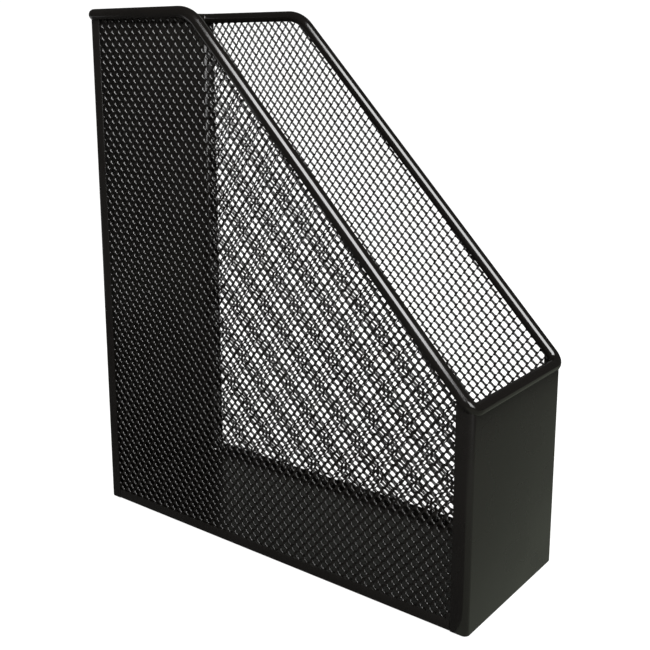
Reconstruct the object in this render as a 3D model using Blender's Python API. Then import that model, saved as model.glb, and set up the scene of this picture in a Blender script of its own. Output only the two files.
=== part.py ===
"""Mesh magazine file: sheet-steel front, back and tray, expanded-metal sides and a rolled tube rim.

The low front faces -Y, the width runs along X and the file stands on Z = 0. Lengths are in metres.
"""

import math

import bmesh
import bpy
from mathutils import Matrix, Vector

# Overall sizes
WIDTH = 0.0975  # across the outer faces of the two sides
DEPTH = 0.265  # from the front face to the back face
HEIGHT = 0.311  # from the desk to the top of the rim
FRONT_HEIGHT = 0.1225  # from the desk to the top of the rim above the front panel
TOP_LENGTH = 0.083  # level stretch of the top edge, from the back face to the start of the slope
CLEARANCE = 0.0003  # gap left between any two pieces that touch

# Sheet metal
SHEET = 0.0007  # thickness of the front panel, back panel and tray
CORNER_RADIUS = 0.003  # outer radius of the four upright corners
FRONT_LAP = 0.0097  # width of the front panel's flanges on the sides
BACK_LAP = 0.0055  # width of the back panel's flanges on the sides
TRAY_LAP = 0.005  # height of the tray's upturned flanges
MESH_SHEET = 0.001  # overall thickness of the expanded metal

# Rim
RIM_DIAMETER = 0.0066
RIM_WALL = 0.0007
RIM_CORNER = 0.0045  # centreline radius where the rim turns a corner of the box
RIM_BEND = 0.021  # centreline radius where the level edge turns into the slope
EDGE_DEPTH = 0.0006  # how far below the rim's centreline the sheets inside it end

# Rubber feet
FOOT_DIAMETER = 0.009
FOOT_HEIGHT = 0.001
FOOT_INSET = 0.014  # from the outer faces to the centre of a foot

# Fineness of the curved surfaces
CORNER_STEPS = 5
BEND_STEPS = 8
RIM_SIDES = 16
FOOT_SIDES = 24

# Places that follow from the sizes above
HALF_WIDTH = WIDTH / 2
HALF_DEPTH = DEPTH / 2
UNDERSIDE = FOOT_HEIGHT + CLEARANCE
FLOOR_TOP = UNDERSIDE + SHEET
MESH_INSET = SHEET + CLEARANCE  # from an outer face to the mesh behind the flanges
STACK = MESH_INSET + MESH_SHEET  # flange and mesh together
RIM_RADIUS = RIM_DIAMETER / 2
RIM_INSET = STACK / 2  # the rim is centred on the sheets that it holds
RIM_TOP_LEVEL = HEIGHT - RIM_RADIUS
RIM_FRONT_LEVEL = FRONT_HEIGHT - RIM_RADIUS
SLOPE_START = HALF_DEPTH - TOP_LENGTH


def material(name, colour, roughness, metallic):
    made = bpy.data.materials.new(name)
    made.use_nodes = True
    shader = made.node_tree.nodes["Principled BSDF"]
    shader.inputs["Base Color"].default_value = (*colour, 1.0)
    shader.inputs["Roughness"].default_value = roughness
    shader.inputs["Metallic"].default_value = metallic
    return made


def powder_coat(name):
    """Satin black powder coat over steel."""
    return material(name, (0.018, 0.018, 0.017), 0.38, 0.0)


def rubber(name):
    return material(name, (0.012, 0.012, 0.012), 0.8, 0.0)


def add_object(name, mesh, surface):
    made = bpy.data.objects.new(name, mesh)
    bpy.context.scene.collection.objects.link(made)
    if surface:
        mesh.materials.append(surface)
    return made


def object_from(name, shape, surface=None):
    """A named object from a bmesh, with round surfaces shaded smooth and folds kept sharp."""
    bmesh.ops.recalc_face_normals(shape, faces=shape.faces)
    mesh = bpy.data.meshes.new(name)
    shape.to_mesh(mesh)
    shape.free()
    mesh.shade_smooth()
    mesh.set_sharp_from_angle(angle=math.radians(35))
    return add_object(name, mesh, surface)


def helper(made):
    """Marks a cutter or a guide, which isn't a piece of the file."""
    made.hide_render = True
    made.display_type = "WIRE"
    return made


def boolean(made, other, operation):
    step = made.modifiers.new(other.name, "BOOLEAN")
    step.operation = operation
    step.solver = "EXACT"
    step.object = other


def fillet(before, corner, after, radius, steps):
    """Points of the arc that rounds a corner of a path, in order along the path."""
    back = (before - corner).normalized()
    on = (after - corner).normalized()
    half = back.angle(on) / 2
    centre = corner + (back + on).normalized() * radius / math.sin(half)
    start = corner + back * radius / math.tan(half) - centre
    axis = on.cross(back).normalized()
    turn = math.pi - 2 * half
    spins = [Matrix.Rotation(turn * i / steps, 3, axis) for i in range(steps + 1)]
    return [centre + spin @ start for spin in spins]


def plan_loop(inset):
    """Corners of the box seen from above, this far inside its outer faces, rounded about one centre."""
    x, y, radius = HALF_WIDTH - inset, HALF_DEPTH - inset, CORNER_RADIUS - inset
    corners = [Vector(p) for p in ((-x, -y, 0), (x, -y, 0), (x, y, 0), (-x, y, 0))]
    loop = []
    for i, corner in enumerate(corners):
        loop += fillet(corners[i - 1], corner, corners[(i + 1) % 4], radius, CORNER_STEPS)
    return loop


def flange_line(inset, lap, facing):
    """Plan of an end panel at this inset: flange, corner, face, corner, flange. facing is -1 at the front."""
    x, y, radius = HALF_WIDTH - inset, facing * (HALF_DEPTH - inset), CORNER_RADIUS - inset
    left, right = Vector((-x, y, 0)), Vector((x, y, 0))
    end = Vector((0, facing * (HALF_DEPTH - lap) - y, 0))
    line = [left + end]
    line += fillet(left + end, left, right, radius, CORNER_STEPS)
    line += fillet(left, right, right + end, radius, CORNER_STEPS)
    return [*line, right + end]


def upright(outline, bottom, top):
    """A bmesh of a plan outline, a closed list of points, raised between two levels."""
    shape = bmesh.new()
    corners = [shape.verts.new((point.x, point.y, bottom)) for point in outline]
    face = shape.faces.new(corners)
    raised = bmesh.ops.extrude_face_region(shape, geom=[face])["geom"]
    moved = [v for v in raised if isinstance(v, bmesh.types.BMVert)]
    bmesh.ops.translate(shape, verts=moved, vec=(0, 0, top - bottom))
    return shape


def cut_above(shape, point, normal):
    """Removes what lies on the normal's side of a plane, and closes the cut."""
    everything = [*shape.verts, *shape.edges, *shape.faces]
    cut = bmesh.ops.bisect_plane(
        shape, geom=everything, plane_co=point, plane_no=normal, clear_outer=True
    )["geom_cut"]
    edges = [e for e in cut if isinstance(e, bmesh.types.BMEdge)]
    bmesh.ops.contextual_create(shape, geom=edges)


def side_profile(depth):
    """Side view under a line this far below the rim's centreline, as three points from the back down."""
    back, bend, front = [
        Vector((0, y, z))
        for y, z in (
            (HALF_DEPTH - RIM_INSET, RIM_TOP_LEVEL),
            (SLOPE_START, RIM_TOP_LEVEL),
            (RIM_INSET - HALF_DEPTH, RIM_FRONT_LEVEL),
        )
    ]
    slope = (front - bend).normalized()
    square = Vector((0, -slope.z, slope.y))  # into the wall, at right angles to the slope
    down = Vector((0, 0, -1))
    # The two lines, each moved by depth, still meet on the bisector of the bend.
    middle = (square + down).normalized()
    bend += middle * depth / middle.dot(down)
    return back + down * depth, bend, front + square * depth


def side_outline(depth, front, back, bottom):
    """Closed side outline between two Y positions, its bend rounded about the rim's own centre."""
    level, bend, slope_end = side_profile(depth)
    fall = (slope_end - bend) / (bend.y - slope_end.y)
    low_corner = bend + fall * (bend.y - front)
    high_corner = Vector((0, back, level.z))
    arc = fillet(high_corner, bend, low_corner, RIM_BEND - depth, BEND_STEPS)
    return [Vector((0, back, bottom)), high_corner, *arc, low_corner, Vector((0, front, bottom))]


def across(outline, left, right):
    """A bmesh of a side outline stretched between two X positions."""
    shape = bmesh.new()
    face = shape.faces.new([shape.verts.new((left, point.y, point.z)) for point in outline])
    stretched = bmesh.ops.extrude_face_region(shape, geom=[face])["geom"]
    moved = [v for v in stretched if isinstance(v, bmesh.types.BMVert)]
    bmesh.ops.translate(shape, verts=moved, vec=(right - left, 0, 0))
    return shape


def rim_path():
    """Closed centreline of the rim: level along the back, bent down both slopes and across the front."""
    x, back, front = HALF_WIDTH - RIM_INSET, HALF_DEPTH - RIM_INSET, RIM_INSET - HALF_DEPTH
    corners = [
        (Vector((-x, back, RIM_TOP_LEVEL)), RIM_CORNER, CORNER_STEPS),
        (Vector((x, back, RIM_TOP_LEVEL)), RIM_CORNER, CORNER_STEPS),
        (Vector((x, SLOPE_START, RIM_TOP_LEVEL)), RIM_BEND, BEND_STEPS),
        (Vector((x, front, RIM_FRONT_LEVEL)), RIM_CORNER, CORNER_STEPS),
        (Vector((-x, front, RIM_FRONT_LEVEL)), RIM_CORNER, CORNER_STEPS),
        (Vector((-x, SLOPE_START, RIM_TOP_LEVEL)), RIM_BEND, BEND_STEPS),
    ]
    path = []
    for i, (corner, radius, steps) in enumerate(corners):
        path += fillet(corners[i - 1][0], corner, corners[(i + 1) % 6][0], radius, steps)
    return path


def round_bar(name, radius, surface=None):
    """The rim's path as a round bar, made a mesh so that it can be cut."""
    curve = bpy.data.curves.new(name + "_path", "CURVE")
    curve.dimensions = "3D"
    curve.bevel_depth = radius
    curve.bevel_resolution = RIM_SIDES // 4 - 2
    path = rim_path()
    spline = curve.splines.new("POLY")
    spline.points.add(len(path) - 1)
    for point, place in zip(spline.points, path):
        point.co = (*place, 1)
    spline.use_cyclic_u = True
    guide = bpy.data.objects.new(name + "_path", curve)
    mesh = bpy.data.meshes.new_from_object(guide)
    bpy.data.objects.remove(guide)
    shape = bmesh.new()
    shape.from_mesh(mesh)
    bpy.data.meshes.remove(mesh)
    bmesh.ops.remove_doubles(shape, verts=shape.verts, dist=1e-6)
    return object_from(name, shape, surface)


def make_rim():
    """A tube rolled over the upper edges of all four walls, open below where they enter it."""
    rim = round_bar("rim", RIM_RADIUS, powder_coat("rim_powder_coat"))
    bore = helper(round_bar("rim_bore", RIM_RADIUS - RIM_WALL))
    walls = upright(plan_loop(-CLEARANCE), 0, HEIGHT)
    slot = helper(object_from("rim_slot", walls))
    core = upright(plan_loop(STACK + CLEARANCE), -HEIGHT, 2 * HEIGHT)
    inside = helper(object_from("rim_slot_inside", core))
    under = across(
        side_outline(EDGE_DEPTH - CLEARANCE, -DEPTH, DEPTH, -HEIGHT), -WIDTH, WIDTH
    )
    boolean(slot, inside, "DIFFERENCE")
    boolean(slot, helper(object_from("rim_slot_top", under)), "INTERSECT")
    boolean(rim, bore, "DIFFERENCE")
    boolean(rim, slot, "DIFFERENCE")


def make_end_panel(name, lap, facing, top):
    """Front or back panel: a sheet folded round both corners of the box."""
    outer = flange_line(0, lap, facing)
    inner = flange_line(SHEET, lap, facing)
    shape = upright([*outer, *reversed(inner)], UNDERSIDE, top)
    if facing < 0:
        _, bend, slope_end = side_profile(EDGE_DEPTH)
        slope = slope_end - bend
        cut_above(shape, bend, Vector((0, slope.z, -slope.y)))
    object_from(name, shape, powder_coat(name + "_powder_coat"))


def make_tray():
    """Floor sheet with flanges turned up outside the mesh sides and inside the two end panels."""
    inset = MESH_INSET
    x, y, radius = HALF_WIDTH - inset, HALF_DEPTH - inset, CORNER_RADIUS - inset
    front = FRONT_LAP + CLEARANCE - HALF_DEPTH
    back = HALF_DEPTH - BACK_LAP - CLEARANCE
    outline = []
    for side, near, far, end in ((-1, back, front, -y), (1, front, back, y)):
        before = Vector((side * x, far, 0))
        corner = Vector((side * x, end, 0))
        after = Vector((-side * x, end, 0))
        outline += [Vector((side * HALF_WIDTH, near, 0)), Vector((side * HALF_WIDTH, far, 0))]
        outline += [before]
        outline += fillet(before, corner, after, radius, CORNER_STEPS)
        next_side = Vector((-side * x, far, 0))
        outline += fillet(corner, after, next_side, radius, CORNER_STEPS)
        outline += [next_side]
    folded = upright(outline, UNDERSIDE, UNDERSIDE + TRAY_LAP)
    tray = object_from("bottom_tray", folded, powder_coat("tray_powder_coat"))
    px, py = HALF_WIDTH - SHEET, y - SHEET
    corners = [Vector(p) for p in ((-px, -py, 0), (px, -py, 0), (px, py, 0), (-px, py, 0))]
    pocket = upright(corners, FLOOR_TOP, FLOOR_TOP + 2 * TRAY_LAP)
    boolean(tray, helper(object_from("tray_pocket", pocket)), "DIFFERENCE")


def make_side_mesh(name, side):
    """One expanded-metal side, as the plain sheet that its strands and openings fill."""
    outer = side * (HALF_WIDTH - MESH_INSET)
    inner = outer - side * MESH_SHEET
    outline = side_outline(
        EDGE_DEPTH, CORNER_RADIUS - HALF_DEPTH, HALF_DEPTH - CORNER_RADIUS, FLOOR_TOP + CLEARANCE
    )
    object_from(name, across(outline, inner, outer), powder_coat(name + "_powder_coat"))


def make_foot(name, x, y):
    shape = bmesh.new()
    bmesh.ops.create_cone(
        shape,
        cap_ends=True,
        segments=FOOT_SIDES,
        radius1=FOOT_DIAMETER / 2,
        radius2=FOOT_DIAMETER / 2,
        depth=FOOT_HEIGHT,
    )
    foot = object_from(name, shape, rubber(name + "_rubber"))
    foot.location = (x, y, FOOT_HEIGHT / 2)


def make_feet():
    x, y = HALF_WIDTH - FOOT_INSET, HALF_DEPTH - FOOT_INSET
    for end, facing in (("front", -1), ("back", 1)):
        for hand, side in (("left", -1), ("right", 1)):
            make_foot(f"foot_{end}_{hand}", side * x, facing * y)


def main():
    for existing in list(bpy.data.objects):
        bpy.data.objects.remove(existing)
    make_rim()
    make_end_panel("front_panel", FRONT_LAP, -1, HEIGHT)
    make_end_panel("back_panel", BACK_LAP, 1, RIM_TOP_LEVEL - EDGE_DEPTH)
    make_tray()
    make_side_mesh("left_side_mesh", -1)
    make_side_mesh("right_side_mesh", 1)
    make_feet()


main()
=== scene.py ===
"""Looks of a desk magazine file: expanded-metal sides, folded sheet ends and tray, a rolled tube rim.

The file is laid out as an add-on: sizes and finishes are properties, each piece is made by an operator,
and a panel lists them. Lengths are in metres, the low front faces -Y and the file stands on Z = 0.
"""

import math

import bmesh
import bpy
from mathutils import Matrix, Vector


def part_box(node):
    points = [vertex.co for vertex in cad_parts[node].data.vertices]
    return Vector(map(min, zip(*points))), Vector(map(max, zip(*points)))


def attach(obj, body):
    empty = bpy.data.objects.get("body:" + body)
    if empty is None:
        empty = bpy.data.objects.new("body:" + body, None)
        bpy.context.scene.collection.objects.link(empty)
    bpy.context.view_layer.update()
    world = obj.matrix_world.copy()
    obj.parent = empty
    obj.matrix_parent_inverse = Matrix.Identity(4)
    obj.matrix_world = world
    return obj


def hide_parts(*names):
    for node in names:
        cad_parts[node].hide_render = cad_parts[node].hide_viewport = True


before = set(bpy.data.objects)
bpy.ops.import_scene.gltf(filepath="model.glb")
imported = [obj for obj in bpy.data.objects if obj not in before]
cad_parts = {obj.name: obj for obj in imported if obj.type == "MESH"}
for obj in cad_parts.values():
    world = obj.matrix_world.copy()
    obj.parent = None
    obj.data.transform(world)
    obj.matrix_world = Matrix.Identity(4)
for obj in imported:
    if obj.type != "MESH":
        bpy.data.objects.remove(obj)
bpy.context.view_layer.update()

bl_info = {
    "name": "Mesh Magazine File",
    "version": (1, 0, 0),
    "blender": (4, 5, 0),
    "location": "View3D > Sidebar > Magazine File",
    "description": "Builds a desk magazine file with expanded-metal sides",
    "category": "Object",
}

FRONT_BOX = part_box("front_panel")
BACK_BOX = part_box("back_panel")
TRAY_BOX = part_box("bottom_tray")
RIM_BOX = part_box("rim")
HALF_WIDTH = FRONT_BOX[1].x
HALF_DEPTH = BACK_BOX[1].y
UNDERSIDE = TRAY_BOX[0].z
DOWN = Vector((0, 0, -1))

BACK_LAP_MORE = 0.0028  # how far the back flanges reach past the plain solid's
TRAY_LIP_MORE = 0.001  # how far the tray's lips stand above the plain solid's
MESH_DROP = 0.0006  # how far under the panels' top edges the mesh ends, inside the rim's slot
SLOT_SLACK = 0.0004  # a facet of the tube is left out if it reaches no further past the slot's edge
CORNER_STEPS = 8  # steps round a corner of the rim
BEND_STEPS = 12  # steps round the bend between level edge and slope
FOLD_STEPS = 10  # facets round an upright corner of a panel
FOOT_SIDES = 40  # facets round a foot
SPARE_CELLS = (4, 3)  # columns and rows of diamonds made past each edge of a wall, then trimmed
SAME_POINT = 2e-6  # points closer than this are one
FOOT_PROFILE = (  # shares of a foot's radius and height, from the middle of its lower face
    (0.84, 0.0), (0.93, 0.1), (0.985, 0.32), (1.0, 0.62), (0.985, 0.9), (0.95, 1.0), (0.0, 1.0))


class SheetSizes(bpy.types.PropertyGroup):
    """Folded sheet steel: the two end panels and the tray."""

    thickness: bpy.props.FloatProperty(
        name="Sheet", description="Thickness of the folded sheet", default=0.0007, unit="LENGTH")
    corner: bpy.props.FloatProperty(
        name="Corner", description="Outer radius of the four upright corners", default=0.003,
        unit="LENGTH")
    fold: bpy.props.FloatProperty(
        name="Fold", description="Outer radius of the tray's folds", default=0.00085, unit="LENGTH")
    front_lap: bpy.props.FloatProperty(
        name="Front lap", description="Width of the front panel's flanges",
        default=FRONT_BOX[1].y - FRONT_BOX[0].y, unit="LENGTH")
    back_lap: bpy.props.FloatProperty(
        name="Back lap", description="Width of the back panel's flanges",
        default=BACK_BOX[1].y - BACK_BOX[0].y + BACK_LAP_MORE, unit="LENGTH")
    edge: bpy.props.FloatProperty(
        name="Edge", description="Radius that the coating leaves on a cut edge", default=0.00022,
        unit="LENGTH")
    gap: bpy.props.FloatProperty(
        name="Gap", description="Gap between two sheets that touch", default=0.0003, unit="LENGTH")


class RimSizes(bpy.types.PropertyGroup):
    """Tube rolled over the top edges."""

    diameter: bpy.props.FloatProperty(
        name="Diameter", description="Outer diameter of the tube", default=0.0066, unit="LENGTH")
    wall: bpy.props.FloatProperty(
        name="Wall", description="Wall of the tube", default=0.0007, unit="LENGTH")
    inset: bpy.props.FloatProperty(
        name="Inset", description="From the outer faces in to the tube's centreline", default=0.001,
        unit="LENGTH")
    slot: bpy.props.FloatProperty(
        name="Slot", description="Width of the slot that the walls enter", default=0.0026,
        unit="LENGTH")
    front_height: bpy.props.FloatProperty(
        name="Front height", description="Top of the rim above the front panel", default=0.1225,
        unit="LENGTH")
    level: bpy.props.FloatProperty(
        name="Level", description="Level top edge, from the back face to the slope", default=0.083,
        unit="LENGTH")
    corner: bpy.props.FloatProperty(
        name="Front corner", description="Centreline radius at the two front corners",
        default=0.006, unit="LENGTH")
    back_corner: bpy.props.FloatProperty(
        name="Back corner", description="Centreline radius at the two back corners",
        default=0.004, unit="LENGTH")
    bend: bpy.props.FloatProperty(
        name="Bend", description="Centreline radius between level edge and slope", default=0.021,
        unit="LENGTH")
    sides: bpy.props.IntProperty(
        name="Sides", description="Facets round the tube", default=32, min=8)
    depth: bpy.props.FloatProperty(
        name="Edge depth", description="How far under the centreline the walls end",
        default=0.0006, unit="LENGTH")
    edge: bpy.props.FloatProperty(
        name="Edge", description="Radius that the coating leaves on the slot's edges",
        default=0.0002, unit="LENGTH")


class MeshSizes(bpy.types.PropertyGroup):
    """Expanded metal: a slit sheet pulled open into diamonds."""

    pitch: bpy.props.FloatProperty(
        name="Pitch", description="Spacing of the diamonds along the slits", default=0.00583,
        unit="LENGTH")
    rise: bpy.props.FloatProperty(
        name="Rise", description="Spacing of the diamonds across the slits", default=0.00696,
        unit="LENGTH")
    bond: bpy.props.FloatProperty(
        name="Bond", description="Length of the solid bond between two slits", default=0.0013,
        unit="LENGTH")
    strand: bpy.props.FloatProperty(
        name="Strand", description="Width of one strand", default=0.00156, unit="LENGTH")
    waist: bpy.props.FloatProperty(
        name="Waist", description="Strand width at its middle, as a share of its ends",
        default=0.86, subtype="FACTOR", min=0.3, max=1)
    gauge: bpy.props.FloatProperty(
        name="Gauge", description="Thickness of the slit sheet", default=0.0004, unit="LENGTH")
    left_tilt: bpy.props.FloatProperty(
        name="Left tilt", description="Lean of a strand's width out of the left wall",
        default=math.radians(36), subtype="ANGLE")
    right_tilt: bpy.props.FloatProperty(
        name="Right tilt", description="Lean of a strand's width out of the right wall",
        default=math.radians(44), subtype="ANGLE")
    depth: bpy.props.FloatProperty(
        name="Depth", description="From the outer face in to the middle of the mesh",
        default=0.00155, unit="LENGTH")
    left_shift: bpy.props.FloatVectorProperty(
        name="Left phase", description="Where the left wall's lattice starts", size=2,
        default=(-0.00014, 0.00263))
    right_shift: bpy.props.FloatVectorProperty(
        name="Right phase", description="Where the right wall's lattice starts", size=2,
        default=(0.00179, -0.00065))
    right_turn: bpy.props.FloatProperty(
        name="Right turn", description="How far the right sheet is welded off square",
        subtype="ANGLE", default=math.radians(-1.66))
    right_stretch: bpy.props.FloatVectorProperty(
        name="Right stretch",
        description="How the right sheet's diamonds differ from the left's, along and across the slits",
        size=2, default=(0.978, 1.004))


class Finishes(bpy.types.PropertyGroup):
    """Colours, as sRGB hex, and the sheen of the coats."""

    coat: bpy.props.StringProperty(
        name="Coat", description="Black powder coat", default="080706")
    rubber: bpy.props.StringProperty(
        name="Rubber", description="Black rubber of the feet", default="1a1a1a")
    rim_roughness: bpy.props.FloatProperty(
        name="Rim roughness", description="Roughness of the coat on the drawn tube", default=0.14,
        subtype="FACTOR", min=0, max=1)
    sheet_roughness: bpy.props.FloatProperty(
        name="Sheet roughness", description="Roughness of the coat on the folded sheets",
        default=0.26, subtype="FACTOR", min=0, max=1)
    mesh_roughness: bpy.props.FloatProperty(
        name="Mesh roughness", description="Roughness of the coat on the expanded metal",
        default=0.26, subtype="FACTOR", min=0, max=1)
    rim_peel: bpy.props.FloatProperty(
        name="Rim peel", description="Width of the orange peel on the rim", default=0.0018,
        unit="LENGTH")
    peel: bpy.props.FloatProperty(
        name="Peel", description="Width of the orange peel on sheet and mesh", default=0.0016,
        unit="LENGTH")


class Studio(bpy.types.PropertyGroup):
    """Camera and surroundings."""

    lens: bpy.props.FloatProperty(
        name="Lens", description="Focal length in millimetres", default=54.256)
    camera: bpy.props.FloatVectorProperty(
        name="Camera", description="Place of the camera", size=3,
        default=(-0.43832, -0.34295, 0.28674), subtype="TRANSLATION")
    azimuth: bpy.props.FloatProperty(
        name="Azimuth", description="Turn of the camera round the file",
        default=math.radians(-52.505), subtype="ANGLE")
    elevation: bpy.props.FloatProperty(
        name="Elevation", description="Height of the camera as an angle",
        default=math.radians(11.70), subtype="ANGLE")
    shift: bpy.props.FloatProperty(
        name="Shift", description="Upright shift of the lens", default=-0.1097)
    backdrop: bpy.props.StringProperty(
        name="Backdrop", description="Opal sheet of the backdrop, before its own glow",
        default="6e6e6c")
    glow: bpy.props.FloatProperty(
        name="Glow", description="Light that the backdrop gives off", default=0.93)
    ambient: bpy.props.FloatProperty(
        name="Ambient", description="Dim light from all round, which glossy pieces mirror",
        default=0.05)


class MagazineFile(bpy.types.PropertyGroup):
    """Everything about the file that a user would change."""

    sheet: bpy.props.PointerProperty(type=SheetSizes)
    rim: bpy.props.PointerProperty(type=RimSizes)
    mesh: bpy.props.PointerProperty(type=MeshSizes)
    finish: bpy.props.PointerProperty(type=Finishes)
    studio: bpy.props.PointerProperty(type=Studio)


# Materials


def linear(hex_colour):
    """An sRGB hex colour as linear RGBA."""
    parts = [int(hex_colour[i:i + 2], 16) / 255 for i in (0, 2, 4)]
    return (*(p / 12.92 if p <= 0.04045 else ((p + 0.055) / 1.055) ** 2.4 for p in parts), 1.0)


def add_node(tree, kind, settings=None, inputs=None, links=None):
    """Adds a node, sets its properties and sockets, and links sockets to other nodes' outputs."""
    node = tree.nodes.new(kind)
    for name, value in (settings or {}).items():
        setattr(node, name, value)
    for name, value in (inputs or {}).items():
        node.inputs[name].default_value = value
    for name, source in (links or {}).items():
        tree.links.new(source, node.inputs[name])
    return node


def shader_of(name):
    """A new material, its node tree and its Principled shader."""
    made = bpy.data.materials.new(name)
    made.use_nodes = True
    return made, made.node_tree, made.node_tree.nodes["Principled BSDF"]


def powder_coat(name, colour, roughness, peel):
    """Satin black polyester powder coat, sprayed dry and baked on steel.

    The eye gets a soft, slightly uneven sheen: a melt that levelled into faint orange peel under 2 mm
    across, a slow change of sheen over about 28 mm, and a touch more light where the coat pulls thin.
    The grain is drawn 0.4 mm wide: powder is about 0.05 mm, which is too fine to show.
    """
    mottle, grain = 0.028, 0.0004
    peel_height, grain_height = 0.00004, 0.00002
    uneven, thinner = 0.05, 1.5
    made, tree, shader = shader_of(name)
    place = add_node(tree, "ShaderNodeTexCoord").outputs["Object"]
    wide, orange, fine = (
        add_node(tree, "ShaderNodeTexNoise", inputs={"Scale": 1 / size, "Detail": detail},
                 links={"Vector": place})
        for size, detail in ((mottle, 3.0), (peel, 2.0), (grain, 1.0)))
    thin = (*(part * thinner for part in linear(colour)[:3]), 1.0)
    tint = add_node(tree, "ShaderNodeMix", {"data_type": "RGBA"}, {"A": linear(colour), "B": thin},
                    {"Factor": wide.outputs["Fac"]})
    tree.links.new(tint.outputs["Result"], shader.inputs["Base Color"])
    sheen = add_node(tree, "ShaderNodeMapRange", inputs={
        "From Min": 0.3, "From Max": 0.7, "To Min": roughness - uneven, "To Max": roughness + uneven},
        links={"Value": wide.outputs["Fac"]})
    tree.links.new(sheen.outputs["Result"], shader.inputs["Roughness"])
    broad = add_node(tree, "ShaderNodeBump", inputs={"Strength": 0.12, "Distance": peel_height},
                     links={"Height": orange.outputs["Fac"]})
    both = add_node(tree, "ShaderNodeBump", inputs={"Strength": 0.1, "Distance": grain_height},
                    links={"Height": fine.outputs["Fac"], "Normal": broad.outputs["Normal"]})
    tree.links.new(both.outputs["Normal"], shader.inputs["Normal"])
    shader.inputs["IOR"].default_value = 1.5
    return made


def moulded_rubber(name, colour):
    """Moulded EPDM rubber.

    The eye gets a matt, even black with a fine grain from the mould and a little grey bloom. The grain
    is drawn 0.6 mm wide: the mould's own is about 0.1 mm, which is too fine to show.
    """
    grain_width, grain_height = 0.0006, 0.00005
    made, tree, shader = shader_of(name)
    place = add_node(tree, "ShaderNodeTexCoord").outputs["Object"]
    grain = add_node(tree, "ShaderNodeTexNoise", inputs={"Scale": 1 / grain_width, "Detail": 3.0},
                     links={"Vector": place})
    rough = add_node(tree, "ShaderNodeMapRange", inputs={"To Min": 0.72, "To Max": 0.9},
                     links={"Value": grain.outputs["Fac"]})
    bump = add_node(tree, "ShaderNodeBump", inputs={"Strength": 0.3, "Distance": grain_height},
                    links={"Height": grain.outputs["Fac"]})
    tree.links.new(rough.outputs["Result"], shader.inputs["Roughness"])
    tree.links.new(bump.outputs["Normal"], shader.inputs["Normal"])
    shader.inputs["Base Color"].default_value = linear(colour)
    return made


def backlit_opal(name, colour, glow):
    """Opal acrylic lit from behind: matt and even, so that floor and wall run into one pale field."""
    made, _, shader = shader_of(name)
    shader.inputs["Base Color"].default_value = linear(colour)
    shader.inputs["Roughness"].default_value = 0.9
    shader.inputs["Emission Color"].default_value = (1, 1, 1, 1)
    shader.inputs["Emission Strength"].default_value = glow
    return made


# Modelling helpers


def add_piece(name, shape, surface, replaced, smooth_under=35):
    """Turns a bmesh into a piece of the file, on the one body, standing for its CAD node."""
    mesh = bpy.data.meshes.new(name)
    shape.to_mesh(mesh)
    shape.free()
    mesh.shade_smooth()
    mesh.set_sharp_from_angle(angle=math.radians(smooth_under))
    mesh.materials.append(surface)
    piece = bpy.data.objects.new(name, mesh)
    bpy.context.scene.collection.objects.link(piece)
    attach(piece, "root")
    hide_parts(replaced)
    return piece


def arc(before, corner, after, radius, steps):
    """Places and headings along the arc that rounds one corner of a path."""
    back, on = (before - corner).normalized(), (after - corner).normalized()
    half = back.angle(on) / 2
    centre = corner + (back + on).normalized() * radius / math.sin(half)
    start = corner + back * radius / math.tan(half) - centre
    turn, axis = math.pi - 2 * half, on.cross(back).normalized()
    spins = [Matrix.Rotation(turn * i / steps, 3, axis) for i in range(steps + 1)]
    return [(centre + spin @ start, spin @ -back) for spin in spins]


def verts_of(geom):
    """The vertices among what an operator made."""
    return [v for v in geom if isinstance(v, bmesh.types.BMVert)]


def edges_of(geom):
    """The edges among what an operator made."""
    return [e for e in geom if isinstance(e, bmesh.types.BMEdge)]


def everything(shape):
    """All of a bmesh's geometry, as operators take it."""
    return [*shape.verts, *shape.edges, *shape.faces]


def chain(shape, points):
    """Draws a run of edges through points."""
    last = shape.verts.new(points[0])
    for point in points[1:]:
        last = bmesh.ops.extrude_vert_indiv(shape, verts=[last])["verts"][0]
        last.co = point


def extruded(shape, edges, vector):
    """Extrudes edges by a vector and returns the new edges."""
    new = bmesh.ops.extrude_edge_only(shape, edges=edges)["geom"]
    bmesh.ops.translate(shape, verts=verts_of(new), vec=vector)
    return edges_of(new)


def turned(profile, steps):
    """Turns a profile of (out, up) points, which follow on from the axis, round Z."""
    shape = bmesh.new()
    chain(shape, [(0, 0, 0), *((out, 0, up) for out, up in profile)])
    bmesh.ops.spin(shape, geom=[*shape.verts, *shape.edges], axis=(0, 0, 1), cent=(0, 0, 0),
                   angle=2 * math.pi, steps=steps, use_merge=True)
    close_up(shape)
    return shape


def close_up(shape):
    """Merges the points that coincide, then turns the faces outwards."""
    bmesh.ops.remove_doubles(shape, verts=shape.verts, dist=SAME_POINT)
    bmesh.ops.recalc_face_normals(shape, faces=shape.faces)


def cut(shape, point, normal):
    """Removes what lies on the normal's side of a plane."""
    bmesh.ops.bisect_plane(shape, geom=everything(shape), dist=1e-7, plane_co=point,
                           plane_no=normal, clear_outer=True)


def soften(shape, radius, over=50):
    """Rounds the cut edges, those that turn by more than an angle in degrees."""
    limit = math.radians(over)
    edges = [e for e in shape.edges if e.is_manifold and e.calc_face_angle(0) > limit]
    bmesh.ops.bevel(shape, geom=edges, offset=radius, segments=2, profile=0.5, affect="EDGES",
                    material=-1, clamp_overlap=True)


def face_out(shape, outwards):
    """Turns an open sheet's faces so that, in sum, they point along a direction."""
    bmesh.ops.recalc_face_normals(shape, faces=shape.faces)
    if sum(f.normal.dot(outwards) * f.calc_area() for f in shape.faces) < 0:
        bmesh.ops.reverse_faces(shape, faces=shape.faces)


def thicken(shape, thickness):
    """Gives an open sheet whose faces point outwards a wall on its inner side."""
    bmesh.ops.solidify(shape, geom=list(shape.faces), thickness=thickness)
    bmesh.ops.recalc_face_normals(shape, faces=shape.faces)


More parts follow.
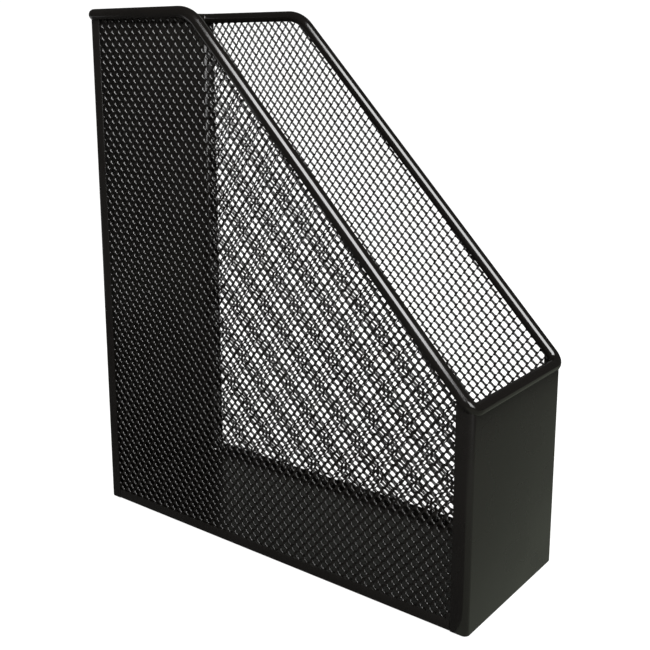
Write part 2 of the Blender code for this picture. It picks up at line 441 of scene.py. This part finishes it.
# Outline of a side wall


def rim_corners():
    """The rim's centreline on one side, as back, bend and front."""
    rim = bpy.context.scene.magazine_file.rim
    radius = rim.diameter / 2
    top, low = RIM_BOX[1].z - radius, rim.front_height - radius
    return (Vector((0, HALF_DEPTH - rim.inset, top)), Vector((0, HALF_DEPTH - rim.level, top)),
            Vector((0, rim.inset - HALF_DEPTH, low)))


def top_planes(depth, steps=10):
    """Planes (point, outward normal) that bound a wall under the rim: level, bend and slope."""
    back, bend, front = rim_corners()
    planes = []
    for place, heading in arc(back, bend, front, bpy.context.scene.magazine_file.rim.bend, steps):
        out = Vector((0, heading.z, -heading.y))
        planes.append((place - out * depth, out))
    return planes


# Pieces


def slot_frame(place, heading):
    """Matrix of a station on the rim: X across the wall, Y out of the slot, Z along the path."""
    down = (DOWN - heading * DOWN.dot(heading)).normalized()
    across = down.cross(heading)
    turn = Matrix((across, down, heading)).transposed()
    return Matrix.Translation(place) @ turn.to_4x4()


def rim_frames(rim):
    """Stations once round the rim's centreline, from the back left corner."""
    back, bend, front = rim_corners()
    x = HALF_WIDTH - rim.inset
    corners = [
        (-x, back, rim.back_corner, CORNER_STEPS), (x, back, rim.back_corner, CORNER_STEPS),
        (x, bend, rim.bend, BEND_STEPS), (x, front, rim.corner, CORNER_STEPS),
        (-x, front, rim.corner, CORNER_STEPS), (-x, bend, rim.bend, BEND_STEPS)]
    points = [Vector((side, p.y, p.z)) for side, p, _, _ in corners]
    stations = []
    for i, (_, _, radius, steps) in enumerate(corners):
        stations += arc(points[i - 1], points[i], points[(i + 1) % len(points)], radius, steps)
    return [slot_frame(place, heading.normalized()) for place, heading in stations]


def make_rim():
    """Sweeps an open ring round the path, so that the slot always faces the wall, and thickens it."""
    rim = bpy.context.scene.magazine_file.rim
    frames = rim_frames(rim)
    shape = bmesh.new()
    bmesh.ops.create_circle(shape, segments=rim.sides, radius=rim.diameter / 2)
    reach = rim.slot / 2 + SLOT_SLACK
    gap = [e for e in shape.edges if all(v.co.y > 0 and abs(v.co.x) < reach for v in e.verts)]
    bmesh.ops.delete(shape, geom=gap, context="EDGES")
    for vert in [v for v in shape.verts if not v.link_edges]:
        shape.verts.remove(vert)
    bmesh.ops.transform(shape, matrix=frames[0], verts=shape.verts)
    ring = list(shape.edges)
    for last, this in zip(frames, [*frames[1:], frames[0]]):
        new = bmesh.ops.extrude_edge_only(shape, edges=ring)["geom"]
        bmesh.ops.transform(shape, matrix=this @ last.inverted(), verts=verts_of(new))
        ring = edges_of(new)
    close_up(shape)
    thicken(shape, rim.wall)
    soften(shape, rim.edge)
    return shape


def make_end_panel(lap, facing, top):
    """Folds a sheet round both corners of the box: flange, corner, face, corner, flange."""
    file = bpy.context.scene.magazine_file
    y, end = facing * HALF_DEPTH, facing * (HALF_DEPTH - lap)
    plan = [Vector((side * HALF_WIDTH, place, UNDERSIDE))
            for side, place in ((-1, end), (-1, y), (1, y), (1, end))]
    line = [plan[0]]
    for i in (1, 2):
        line += [place for place, _ in
                 arc(plan[i - 1], plan[i], plan[i + 1], file.sheet.corner, FOLD_STEPS)]
    line.append(plan[3])
    shape = bmesh.new()
    chain(shape, line)
    extruded(shape, list(shape.edges), (0, 0, top - UNDERSIDE))
    if facing < 0:
        cut(shape, *top_planes(file.rim.depth)[-1])
    face_out(shape, Vector((0, facing, 0)))
    thicken(shape, file.sheet.thickness)
    soften(shape, file.sheet.edge)
    return shape


def make_tray():
    """Folds the floor's flanges up outside the mesh sides and inside the two end panels."""
    sheet = bpy.context.scene.magazine_file.sheet
    inset = sheet.thickness + sheet.gap
    x, y = HALF_WIDTH, HALF_DEPTH - inset
    side_notch, end_notch = x - sheet.corner, y - sheet.corner
    low = sheet.front_lap + sheet.gap - HALF_DEPTH
    high = HALF_DEPTH - sheet.back_lap - sheet.gap
    shape = bmesh.new()
    bmesh.ops.create_grid(shape, x_segments=1, y_segments=1, size=1)
    bmesh.ops.scale(shape, verts=shape.verts, vec=(x, y, 1))
    planes = [((side * place, 0, 0), (1, 0, 0)) for side in (1, -1) for place in (side_notch, x - inset)]
    planes += [((0, place, 0), (0, 1, 0)) for place in (low, high, end_notch, -end_notch)]
    for point, normal in planes:
        bmesh.ops.bisect_plane(shape, geom=everything(shape), plane_co=point, plane_no=normal)
    middles = [(f, f.calc_center_median()) for f in shape.faces]
    corners = [f for f, middle in middles
               if abs(middle.x) > side_notch and abs(middle.y) > end_notch
               or abs(middle.x) > x - inset and not low < middle.y < high]
    bmesh.ops.delete(shape, geom=corners, context="FACES")
    bmesh.ops.translate(shape, verts=shape.verts, vec=(0, 0, UNDERSIDE))
    folds = [e for e in shape.edges if e.is_boundary
             and (all(abs(abs(v.co.x) - x) < SAME_POINT for v in e.verts)
                  or all(abs(abs(v.co.y) - y) < SAME_POINT for v in e.verts))]
    extruded(shape, folds, (0, 0, TRAY_BOX[1].z - UNDERSIDE + TRAY_LIP_MORE))
    bmesh.ops.bevel(shape, geom=folds, offset=sheet.fold, segments=4, profile=0.5, affect="EDGES",
                    material=-1)
    face_out(shape, DOWN)
    thicken(shape, sheet.thickness)
    soften(shape, sheet.edge)
    return shape


def mesh_cell(mesh, tilt):
    """One bond of the expanded sheet and the two strands that rise from it, at the origin."""
    lean = Vector((math.sin(tilt), 0, math.cos(tilt)))
    along = Vector((0, mesh.bond / 2, 0))
    width = lean * mesh.strand
    shape = bmesh.new()
    middle = shape.verts.new(-along)
    top, bottom = shape.verts.new(width - along), shape.verts.new(-width - along)
    extruded(shape, [shape.edges.new((middle, top)), shape.edges.new((bottom, middle))], along * 2)
    for side in (1, -1):
        # A strand starts from the upper half of the bond's end edge; 0.49 stays clear of rounding.
        ends = [v for v in shape.verts
                if v.co.y * side > mesh.bond * 0.49 and v.co.dot(lean) > -mesh.strand / 2]
        edge = [e for e in shape.edges if all(v in ends for v in e.verts)]
        rise = Vector((0, side * mesh.pitch / 2, mesh.rise / 2)) - along * 2 * side - width
        # Each strand is drawn in two halves, because it is narrower at its middle.
        for size in (mesh.waist, 1 / mesh.waist):
            edge = extruded(shape, edge, rise / 2)
            verts = list({v for e in edge for v in e.verts})
            centre = (verts[0].co + verts[1].co) / 2
            bmesh.ops.scale(shape, verts=verts, vec=(size, size, size),
                            space=Matrix.Translation(-centre))
    return shape


def copy_cells(shape, count, step):
    """Repeats everything in a bmesh count more times, each a step on."""
    geom = everything(shape)
    for i in range(1, count + 1):
        new = bmesh.ops.duplicate(shape, geom=geom)["geom"]
        bmesh.ops.translate(shape, verts=verts_of(new), vec=step * i)


def make_side_mesh(side, shift):
    """Repeats the cell over a side and trims it to the wall: ends, floor and under the rim."""
    file = bpy.context.scene.magazine_file
    mesh = file.mesh
    shape = mesh_cell(mesh, mesh.right_tilt if side > 0 else mesh.left_tilt)
    spare_columns, spare_rows = SPARE_CELLS
    columns = math.ceil(2 * HALF_DEPTH / mesh.pitch) + 2 * spare_columns
    rows = math.ceil(RIM_BOX[1].z / mesh.rise) + 2 * spare_rows
    copy_cells(shape, 1, Vector((0, mesh.pitch / 2, mesh.rise / 2)))
    copy_cells(shape, columns, Vector((0, mesh.pitch, 0)))
    copy_cells(shape, rows, Vector((0, 0, mesh.rise)))
    start = (0, -HALF_DEPTH - spare_columns * mesh.pitch, -spare_rows * mesh.rise)
    bmesh.ops.translate(shape, verts=shape.verts, vec=start)
    bmesh.ops.remove_doubles(shape, verts=shape.verts, dist=SAME_POINT)
    if side > 0:
        bmesh.ops.scale(shape, verts=shape.verts, vec=(1, *mesh.right_stretch))
        bmesh.ops.rotate(shape, verts=shape.verts, matrix=Matrix.Rotation(mesh.right_turn, 3, "X"))
    place = (side * (HALF_WIDTH - mesh.depth), *shift)
    bmesh.ops.translate(shape, verts=shape.verts, vec=place)
    limit = HALF_DEPTH - file.sheet.corner
    floor = UNDERSIDE + file.sheet.thickness + 2 * file.sheet.gap
    for point, normal in (
            ((0, -limit, 0), (0, -1, 0)), ((0, limit, 0), (0, 1, 0)), ((0, 0, floor), DOWN),
            *top_planes(file.rim.depth + MESH_DROP)):
        cut(shape, point, normal)
    return shape


def make_foot(box):
    """Turns a foot's section round its axis: flat below, with rounded edges."""
    lo, hi = box
    radius, height = (hi.x - lo.x) / 2, hi.z - lo.z
    shape = turned([(out * radius, up * height) for out, up in FOOT_PROFILE], FOOT_SIDES)
    bmesh.ops.translate(shape, verts=shape.verts, vec=((lo.x + hi.x) / 2, (lo.y + hi.y) / 2, lo.z))
    return shape


# Studio


def make_backdrop(studio):
    """A round cove: flat floor, quarter-round foot and upright wall, which gives off its own light."""
    flat, curve, top = 2.5, 1.0, 4.0
    steps, sides = 8, 64
    turns = [math.pi / 2 * i / steps for i in range(steps + 1)]
    profile = [(flat + curve * math.sin(t), curve * (1 - math.cos(t))) for t in turns]
    shape = turned([*profile, (flat + curve, top)], sides)
    cove_mesh = bpy.data.meshes.new("studio_cove")
    shape.to_mesh(cove_mesh)
    shape.free()
    cove_mesh.shade_smooth()
    cove_mesh.materials.append(backlit_opal("backlit_opal_acrylic", studio.backdrop, studio.glow))
    cove = bpy.data.objects.new("studio_cove", cove_mesh)
    # The black coat would mirror the glowing floor as grey, so reflections leave the cove out and
    # hold only the lights, the cards and the dim surround.
    cove.visible_glossy = False
    bpy.context.scene.collection.objects.link(cove)


def make_world(strength):
    """A dim even surround."""
    world = bpy.data.worlds.new("studio_world")
    world.use_nodes = True
    background = world.node_tree.nodes["Background"]
    background.inputs["Color"].default_value = (1, 1, 1, 1)
    background.inputs["Strength"].default_value = strength
    bpy.context.scene.world = world


def area_light(name, place, target, size, power, colour=(1, 1, 1), roll=0.0):
    """A rectangular softbox that faces a point and stays out of the camera's sight."""
    light = bpy.data.lights.new(name, "AREA")
    light.shape = "RECTANGLE"
    light.size, light.size_y = size
    light.energy = power
    light.color = colour
    made = bpy.data.objects.new(name, light)
    made.location = place
    made.visible_camera = False
    aim = (Vector(place) - Vector(target)).to_track_quat("Z", "Y")
    made.rotation_euler = (aim.to_matrix() @ Matrix.Rotation(roll, 3, "Z")).to_euler()
    bpy.context.scene.collection.objects.link(made)


def make_lights():
    """A high key and a front fill, and three dim cards that the tray, back and front panel mirror."""
    area_light("key", (-0.667, -0.437, 0.998), (0, 0, 0.17), (0.9, 0.72), 31, roll=math.radians(40))
    area_light("front_fill", (-0.3, -1.0, 0.5), (0, 0, 0.1), (0.5, 0.5), 7)
    area_light("far_card", (1.05, 0.82, 0.68), (0, 0, 0.02), (0.6, 0.5), 0.26, (0.96, 1.0, 0.90))
    area_light("back_card", (0, 1.3, 0.003), (0, 1.3, 1), (0.8, 1.2), 1.8)
    area_light("floor_card", (0.15, -0.331, 0.0005), (0.15, -0.331, 1), (0.9, 0.412), 0.20,
               (0.90, 1.0, 0.76))


def make_camera(studio):
    """A camera that looks down at the near side and the low front."""
    lens = bpy.data.cameras.new("camera")
    lens.lens = studio.lens
    lens.sensor_width = 36
    lens.shift_y = studio.shift
    lens.clip_start, lens.clip_end = 0.01, 30
    camera = bpy.data.objects.new("camera", lens)
    a, e = studio.azimuth, studio.elevation
    back = Vector((math.sin(a) * math.cos(e), -math.cos(a) * math.cos(e), math.sin(e)))
    camera.location = studio.camera
    camera.rotation_euler = (-back).to_track_quat("-Z", "Y").to_euler()
    bpy.context.scene.collection.objects.link(camera)
    bpy.context.scene.camera = camera


# Operators


class MAGFILE_OT_rim(bpy.types.Operator):
    """Makes the rolled tube rim"""

    bl_idname = "magfile.rim"
    bl_label = "Rim"

    def execute(self, context):
        finish = context.scene.magazine_file.finish
        surface = powder_coat("rim_powder_coat", finish.coat, finish.rim_roughness, finish.rim_peel)
        add_piece("rim_tube", make_rim(), surface, "rim")
        return {"FINISHED"}


class MAGFILE_OT_panels(bpy.types.Operator):
    """Makes the front and back panels"""

    bl_idname = "magfile.panels"
    bl_label = "End Panels"

    def execute(self, context):
        sheet = context.scene.magazine_file.sheet
        finish = context.scene.magazine_file.finish
        surface = powder_coat("panel_powder_coat", finish.coat, finish.sheet_roughness, finish.peel)
        for name, lap, facing, box in (("front", sheet.front_lap, -1, FRONT_BOX),
                                       ("back", sheet.back_lap, 1, BACK_BOX)):
            add_piece(name + "_folded_panel", make_end_panel(lap, facing, box[1].z), surface,
                      name + "_panel")
        return {"FINISHED"}


class MAGFILE_OT_tray(bpy.types.Operator):
    """Makes the bottom tray"""

    bl_idname = "magfile.tray"
    bl_label = "Bottom Tray"

    def execute(self, context):
        finish = context.scene.magazine_file.finish
        surface = powder_coat("tray_powder_coat", finish.coat, finish.sheet_roughness, finish.peel)
        add_piece("folded_tray", make_tray(), surface, "bottom_tray")
        return {"FINISHED"}


class MAGFILE_OT_sides(bpy.types.Operator):
    """Makes the two expanded-metal sides"""

    bl_idname = "magfile.sides"
    bl_label = "Mesh Sides"

    def execute(self, context):
        mesh = context.scene.magazine_file.mesh
        finish = context.scene.magazine_file.finish
        surface = powder_coat("mesh_powder_coat", finish.coat, finish.mesh_roughness, finish.peel)
        for name, side, shift in (("left", -1, mesh.left_shift), ("right", 1, mesh.right_shift)):
            piece = add_piece(name + "_expanded_mesh", make_side_mesh(side, shift), surface,
                              name + "_side_mesh",
                              smooth_under=60)
            wall = piece.modifiers.new("Gauge", "SOLIDIFY")
            wall.thickness = mesh.gauge
            wall.offset = 0
        return {"FINISHED"}


class MAGFILE_OT_feet(bpy.types.Operator):
    """Makes the four rubber feet"""

    bl_idname = "magfile.feet"
    bl_label = "Feet"

    def execute(self, context):
        surface = moulded_rubber("foot_rubber", context.scene.magazine_file.finish.rubber)
        for place in ("front_left", "front_right", "back_left", "back_right"):
            node = "foot_" + place
            add_piece("bumper_" + place, make_foot(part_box(node)), surface, node)
        return {"FINISHED"}


class MAGFILE_OT_stage(bpy.types.Operator):
    """Makes the backdrop, the lights and the camera"""

    bl_idname = "magfile.stage"
    bl_label = "Studio"

    def execute(self, context):
        studio = context.scene.magazine_file.studio
        make_backdrop(studio)
        make_world(studio.ambient)
        make_lights()
        make_camera(studio)
        context.scene.view_settings.view_transform = "Standard"
        return {"FINISHED"}


class MAGFILE_PT_panel(bpy.types.Panel):
    """Lists the sizes, the finishes and the makers"""

    bl_label = "Magazine File"
    bl_idname = "MAGFILE_PT_panel"
    bl_space_type = "VIEW_3D"
    bl_region_type = "UI"
    bl_category = "Magazine File"

    def draw(self, context):
        file = context.scene.magazine_file
        for group in ("sheet", "rim", "mesh", "finish", "studio"):
            box = self.layout.box()
            box.label(text=group.title())
            values = getattr(file, group)
            for name in values.__annotations__:
                box.prop(values, name)
        for maker in MAKERS:
            self.layout.operator(maker.bl_idname)


GROUPS = (SheetSizes, RimSizes, MeshSizes, Finishes, Studio, MagazineFile)
MAKERS = (
    MAGFILE_OT_rim, MAGFILE_OT_panels, MAGFILE_OT_tray, MAGFILE_OT_sides, MAGFILE_OT_feet,
    MAGFILE_OT_stage)
CLASSES = (*GROUPS, *MAKERS, MAGFILE_PT_panel)


def register():
    for part in CLASSES:
        bpy.utils.register_class(part)
    bpy.types.Scene.magazine_file = bpy.props.PointerProperty(type=MagazineFile)


def unregister():
    del bpy.types.Scene.magazine_file
    for part in reversed(CLASSES):
        bpy.utils.unregister_class(part)


def main():
    """Makes every piece and the studio."""
    register()
    bpy.ops.magfile.rim()
    bpy.ops.magfile.panels()
    bpy.ops.magfile.tray()
    bpy.ops.magfile.sides()
    bpy.ops.magfile.feet()
    bpy.ops.magfile.stage()


if __name__ == "__main__":
    main()
